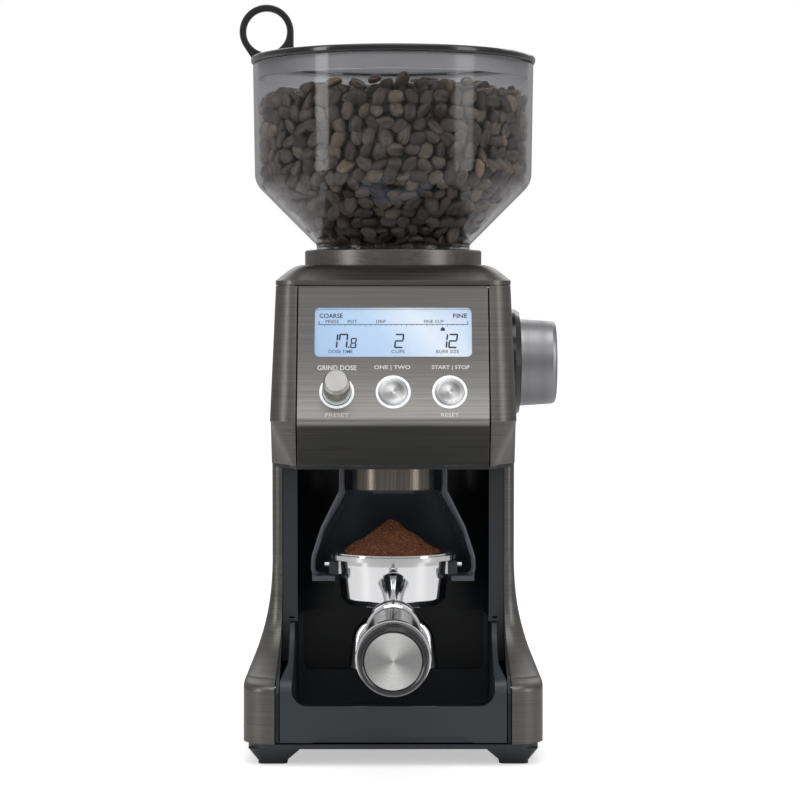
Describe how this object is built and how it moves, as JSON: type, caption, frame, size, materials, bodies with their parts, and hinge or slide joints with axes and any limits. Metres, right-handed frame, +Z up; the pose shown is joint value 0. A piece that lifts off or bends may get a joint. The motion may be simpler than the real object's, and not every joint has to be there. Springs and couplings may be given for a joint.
{
  "type": "burr coffee grinder",
  "caption": "Free-standing burr coffee grinder with a smoked bean hopper, tilted control panel, side grind-size dial, open front bay with cradle, portafilter and pull-out tray.",
  "frame": {"origin": "on the counter, straight under the burr and hopper axis", "axes": "+X to the user's right (the dial side), -Y the front, +Z up"},
  "size_m": [0.1675, 0.3234, 0.3878],
  "materials": {
    "housing_metal": "satin brushed dark grey",
    "black_plastic": "fine texture",
    "tray_plastic": "satin",
    "rubber": "matte",
    "smoky_clear": "clear, lightly smoked",
    "display_clear": "clear",
    "display_glow": "backlit",
    "light_white": "frosted",
    "spun_metal": "spun",
    "dial_silver": "satin",
    "chrome": "polished",
    "steel": "brushed",
    "gear_plastic": "moulded",
    "circuit_board": "lacquered board with parts",
    "grip_plastic": "satin black",
    "coffee_grounds": "coarse powder",
    "coffee_beans": "roasted beans"
  },
  "bodies": {
    "housing": {"base_frame": "black_plastic", "foot_pads": "rubber", "right_side_panel": "housing_metal", "left_side_panel": "housing_metal", "rear_cover": "housing_metal", "case_screws": "steel", "cord_gland": "rubber", "front_panel": "housing_metal", "top_cover": "housing_metal", "cavity_liner": "black_plastic", "outlet_chute": "black_plastic", "outlet_trim": "housing_metal", "display_window": "display_clear", "display_panel": "display_glow", "control_board": "circuit_board", "light_rings": "light_white", "power_board": "circuit_board", "microswitches": "black_plastic", "gearbox_base": "gear_plastic", "grind_chamber": "gear_plastic", "shaft_bearings": "steel", "motor_can": "steel", "idler_axle": "steel", "dial_escutcheon": "black_plastic"},
    "burr_drive": {"burr_shaft": "steel", "burr_gear": "gear_plastic", "impeller": "gear_plastic", "lower_burr": "steel", "burr_nut": "steel"},
    "idler": {"idler_gear": "gear_plastic"},
    "motor": {"motor_rotor": "steel"},
    "adjuster": {"adjusting_ring": "gear_plastic", "upper_burr": "steel", "burr_carrier": "black_plastic"},
    "dial": {"grind_size_dial": "dial_silver", "dial_shaft": "gear_plastic"},
    "shots_key": {"shots_button": "spun_metal"},
    "start_key": {"start_button": "spun_metal"},
    "encoder": {"encoder_plunger": "steel"},
    "amount_dial": {"amount_knob": "spun_metal"},
    "switch_pin": {"switch_plunger": "black_plastic"},
    "cradle": {"cradle": "black_plastic", "cradle_magnets": "steel"},
    "portafilter": {"portafilter_bowl": "chrome", "filter_basket": "steel", "ground_coffee": "coffee_grounds", "spout": "chrome", "handle_collar": "grip_plastic", "handle_ferrule": "chrome", "handle_grip": "grip_plastic", "handle_band": "chrome", "handle_cap": "spun_metal"},
    "tray": {"grinds_tray": "tray_plastic"},
    "hopper": {"hopper_shell": "smoky_clear", "hopper_base": "black_plastic", "bean_charge": "coffee_beans"},
    "gate": {"lock_knob": "black_plastic"},
    "lid": {"lid_rim": "black_plastic", "lid_window": "smoky_clear", "lid_seal": "smoky_clear"}
  },
  "joints": [
    {"name": "burr_spin", "type": "hinge", "parent": "housing", "child": "burr_drive", "pos_m": [0, 0, 0.2], "axis": [0, 0, 1], "continuous": true},
    {"name": "idler_spin", "type": "hinge", "parent": "housing", "child": "idler", "pos_m": [0.01947, 0.03918, 0.172], "axis": [0, 0, 1], "continuous": true},
    {"name": "motor_spin", "type": "hinge", "parent": "housing", "child": "motor", "pos_m": [0, 0.062, 0.13], "axis": [0, 0, 1], "continuous": true},
    {"name": "dial_turn", "type": "hinge", "parent": "housing", "child": "dial", "pos_m": [0.06, 0, 0.1985], "axis": [1, 0, 0], "range_deg": [-66, 288]},
    {"name": "ring_turn", "type": "hinge", "parent": "housing", "child": "adjuster", "pos_m": [0, 0, 0.22], "axis": [0, 0, 1], "range_deg": [-74.9, 17.4]},
    {"name": "shots_press", "type": "slide", "parent": "housing", "child": "shots_key", "axis": [0, 0.9253, -0.3793], "range_m": [0, 0.0012], "stiffness_N_per_m": 400},
    {"name": "start_press", "type": "slide", "parent": "housing", "child": "start_key", "axis": [0, 0.9253, -0.3793], "range_m": [0, 0.0012], "stiffness_N_per_m": 400},
    {"name": "amount_press", "type": "slide", "parent": "housing", "child": "encoder", "axis": [0, 0.9253, -0.3793], "range_m": [0, 0.0008], "stiffness_N_per_m": 500},
    {"name": "amount_turn", "type": "hinge", "parent": "encoder", "child": "amount_dial", "pos_m": [-0.0283, -0.0837, 0.18725], "axis": [0, -0.9253, 0.3793], "continuous": true},
    {"name": "switch_press", "type": "slide", "parent": "housing", "child": "switch_pin", "axis": [0, 1, 0], "range_m": [0, 0.003], "stiffness_N_per_m": 200},
    {"name": "cradle_slide", "type": "slide", "parent": "housing", "child": "cradle", "axis": [0, -1, 0], "range_m": [0, 0.15]},
    {"name": "portafilter_slide", "type": "slide", "parent": "cradle", "child": "portafilter", "axis": [0, -1, 0], "range_m": [0, 0.2]},
    {"name": "tray_slide", "type": "slide", "parent": "housing", "child": "tray", "axis": [0, -1, 0], "range_m": [0, 0.2]},
    {"name": "hopper_lift", "type": "slide", "parent": "housing", "child": "hopper", "axis": [0, 0, 1], "range_m": [0, 0.1]},
    {"name": "gate_turn", "type": "hinge", "parent": "hopper", "child": "gate", "pos_m": [0, 0, 0.26], "axis": [0, 0, 1], "range_deg": [0, 60]},
    {"name": "lid_lift", "type": "slide", "parent": "hopper", "child": "lid", "axis": [0, 0, 1], "range_m": [0, 0.06]}
  ],
  "couplings": [
    {"joint": "idler_spin", "follows": "burr_spin", "ratio": -3.375},
    {"joint": "motor_spin", "follows": "burr_spin", "ratio": 10.125},
    {"joint": "ring_turn", "follows": "dial_turn", "ratio": -0.25926}
  ]
}
